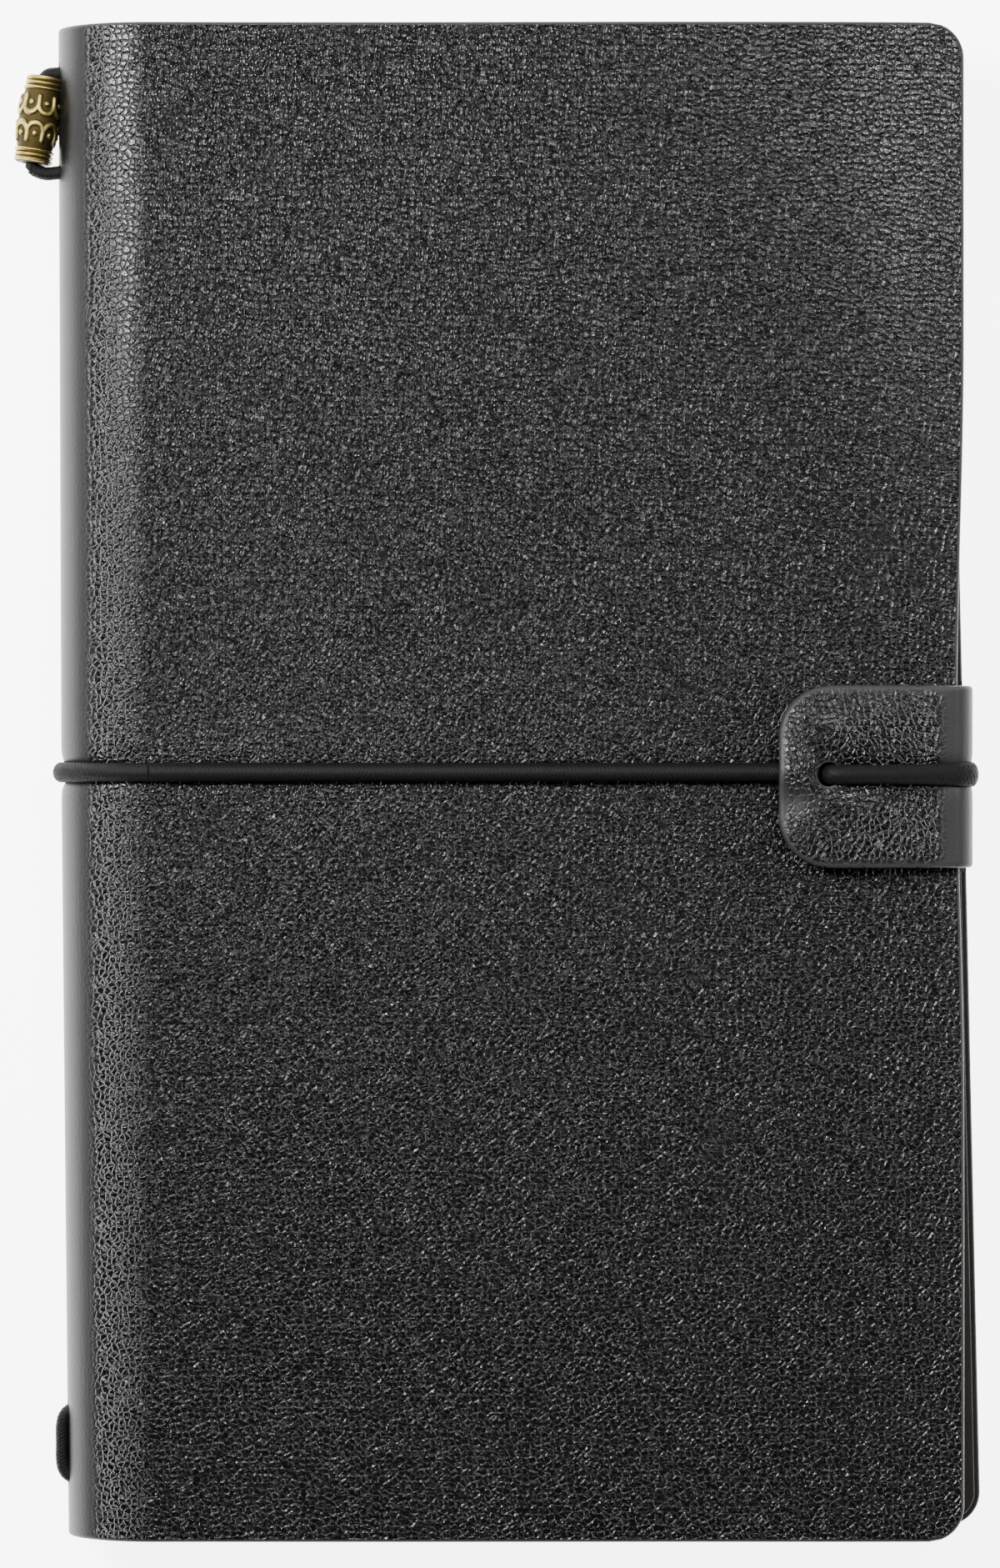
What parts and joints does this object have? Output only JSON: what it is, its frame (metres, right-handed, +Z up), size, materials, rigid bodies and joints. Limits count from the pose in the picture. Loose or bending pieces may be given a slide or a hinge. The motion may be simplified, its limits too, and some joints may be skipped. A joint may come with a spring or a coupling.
{
  "type": "leather notebook cover",
  "caption": "Leather notebook cover lying closed, with stapled refill booklets on elastic inside, a fold-over tab, a braided closure elastic and a brass bead on the spine.",
  "frame": {"origin": "middle of the bounding box, on the plane of the back cover's outer face", "axes": "+Z up out of the front cover, +Y towards the head of the book, +X towards the fore edge"},
  "size_m": [0.1314, 0.2032, 0.024],
  "materials": {
    "cover_leather": "pebbled, satin",
    "tab_leather": "pebbled, satin, burnished edges",
    "lining": "matt suede",
    "braided_elastic": "braided, low sheen",
    "binding_elastic": "braided, low sheen",
    "brass": "antique, dark in the recesses",
    "card": "matt kraft card",
    "paper": "uncoated",
    "staple_wire": "bright wire"
  },
  "bodies": {
    "back_cover": {"back_cover_leather": "cover_leather", "back_cover_lining": "lining", "closure_elastic_back": "braided_elastic", "binding_strand_1": "binding_elastic", "binding_strand_2": "binding_elastic", "binding_strand_3": "binding_elastic", "booklet_1_card": "card", "booklet_1_pages": "paper", "booklet_1_staples": "staple_wire", "booklet_2_card": "card", "booklet_2_pages": "paper", "booklet_2_staples": "staple_wire", "booklet_3_card": "card", "booklet_3_pages": "paper", "booklet_3_staples": "staple_wire"},
    "spine": {"spine_leather": "cover_leather", "spine_lining": "lining", "closure_elastic_spine": "braided_elastic", "closure_elastic_anchor": "braided_elastic", "binding_elastic_head": "binding_elastic", "binding_elastic_foot": "binding_elastic"},
    "front_cover": {"front_cover_leather": "cover_leather", "front_cover_lining": "lining"},
    "closure_strand": {"closure_elastic_front": "braided_elastic"},
    "tab_riser": {"tab_riser": "tab_leather", "closure_elastic_fore_edge": "braided_elastic"},
    "tab_flap": {"tab_flap": "tab_leather", "closure_elastic_tab": "braided_elastic"},
    "bead": {"spine_bead": "brass"}
  },
  "joints": [
    {"name": "spine_fold", "type": "hinge", "parent": "back_cover", "child": "spine", "pos_m": [-0.05931, 0, 0], "axis": [0, -1, 0], "range_deg": [0, 50]},
    {"name": "front_fold", "type": "hinge", "parent": "spine", "child": "front_cover", "pos_m": [-0.05931, 0, 0.017], "axis": [0, -1, 0], "range_deg": [0, 134]},
    {"name": "tab_lifts", "type": "hinge", "parent": "back_cover", "child": "tab_riser", "pos_m": [0.06319, 0.0007, 0], "axis": [0, 1, 0], "range_deg": [0, 80]},
    {"name": "tab_unfolds", "type": "hinge", "parent": "tab_riser", "child": "tab_flap", "pos_m": [0.06319, 0.0007, 0.0189], "axis": [0, 1, 0], "range_deg": [0, 80]},
    {"name": "elastic_slips_off", "type": "hinge", "parent": "front_cover", "child": "closure_strand", "pos_m": [-0.05532, 0.0013, 0.01835], "axis": [0, 0, 1], "range_deg": [0, 90]},
    {"name": "bead_turns", "type": "hinge", "parent": "spine", "child": "bead", "pos_m": [-0.06227, 0.0893, 0.0095], "axis": [0.153, 0.9882, 0], "continuous": true}
  ],
  "couplings": [
    {"joint": "front_fold", "follows": "spine_fold", "ratio": 2.68},
    {"joint": "tab_unfolds", "follows": "tab_lifts", "ratio": 1}
  ]
}
